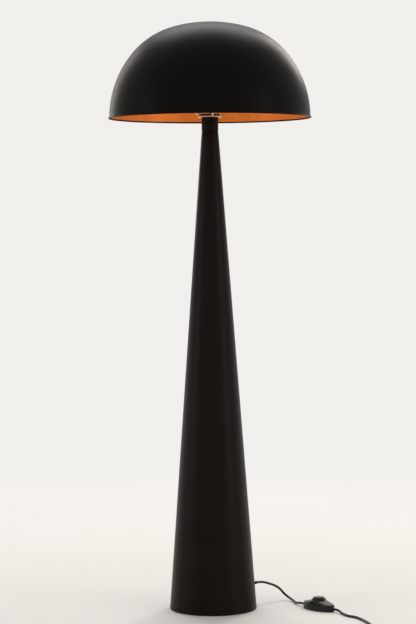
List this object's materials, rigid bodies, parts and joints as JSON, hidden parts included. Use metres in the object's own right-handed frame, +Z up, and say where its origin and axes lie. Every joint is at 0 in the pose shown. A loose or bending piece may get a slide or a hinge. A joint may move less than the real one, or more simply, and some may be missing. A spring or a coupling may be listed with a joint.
{
  "type": "mushroom floor lamp",
  "caption": "Floor lamp: a domed shade, copper coloured inside, on a slender black cone with a weighted base, a lampholder, and a corded foot switch and plug.",
  "frame": {"origin": "centre of the base on the floor", "axes": "+Z up along the column; the usual front faces -Y; the cord leaves to the +X side"},
  "size_m": [0.6328, 0.6204, 1.4499],
  "materials": {
    "black_paint": "satin powder coat",
    "shade_paint": "satin powder coat",
    "copper_lining": "satin copper-gold, slightly mottled",
    "zinc_plate": "zinc plated",
    "cast_weight": "rough cast, primed",
    "zinc_screws": "bright zinc",
    "foot_rubber": "matt",
    "black_plastic": "fine texture",
    "cord_sheath": "semi-gloss PVC",
    "black_fibre": "matt",
    "holder_plastic": "satin",
    "white_insulator": "matt",
    "brass_parts": "bright",
    "core_insulation": "semi-gloss",
    "polished_metal": "polished",
    "pad_rubber": "matt",
    "switch_plastic": "semi-gloss",
    "button_plastic": "semi-gloss",
    "spring_steel": "bright",
    "plug_plastic": "satin",
    "pin_metal": "nickel plated",
    "bulb_cap_metal": "bright",
    "bulb_collar_plastic": "satin white",
    "opal_glass": "opal"
  },
  "bodies": {
    "stand": {"column_shell": "black_paint", "column_cap": "black_paint", "base_plate": "zinc_plate", "counterweight": "cast_weight", "counterweight_screws": "zinc_screws", "base_lugs": "zinc_plate", "base_screws": "zinc_screws", "foot_pads": "foot_rubber", "cable_gland": "black_plastic", "gland_nut": "black_plastic", "inner_cable": "cord_sheath", "threaded_tube": "zinc_screws", "neck_washers": "zinc_screws", "neck_nuts": "zinc_screws", "seam_ring": "black_fibre", "socket_cover": "black_paint", "holder_cap": "holder_plastic", "holder_shell": "holder_plastic", "holder_insert": "white_insulator", "screw_shell": "brass_parts", "centre_contact": "brass_parts", "holder_terminals": "brass_parts", "terminal_screws": "zinc_screws", "holder_cores": "core_insulation", "carrier_ring": "polished_metal", "clamp_ring": "holder_plastic", "lock_ring": "polished_metal", "carrier_arms": "polished_metal", "arm_pads": "pad_rubber", "cord_lead": "cord_sheath", "cord_run": "cord_sheath", "cord_coil": "cord_sheath", "cord_tail": "cord_sheath", "switch_base": "switch_plastic", "switch_cover": "switch_plastic", "switch_screws": "zinc_screws", "switch_grommets": "black_plastic", "switch_inner_cord": "cord_sheath", "switch_cores": "core_insulation", "switch_contacts": "brass_parts", "switch_terminal_screws": "zinc_screws", "switch_spring": "spring_steel", "plug_body": "plug_plastic", "plug_pins": "pin_metal", "plug_grip": "plug_plastic"},
    "button": {"switch_button": "button_plastic", "switch_bridge": "brass_parts"},
    "shade": {"shade_shell": "shade_paint", "shade_lining": "copper_lining"},
    "bulb": {"bulb_contact": "brass_parts", "bulb_cap": "bulb_cap_metal", "bulb_collar": "bulb_collar_plastic", "bulb_globe": "opal_glass"}
  },
  "joints": [
    {"name": "switch_press", "type": "slide", "parent": "stand", "child": "button", "axis": [0, 0, 1], "range_m": [-0.0035, 0], "stiffness_N_per_m": 900, "springref_m": 0.002, "deforming": ["switch_spring"]},
    {"name": "shade_lift", "type": "slide", "parent": "stand", "child": "shade", "axis": [0, 0, 1], "range_m": [0, 0.21]},
    {"name": "bulb_unscrew", "type": "slide", "parent": "stand", "child": "bulb", "axis": [0, 0, 1], "range_m": [0, 0.03]}
  ]
}
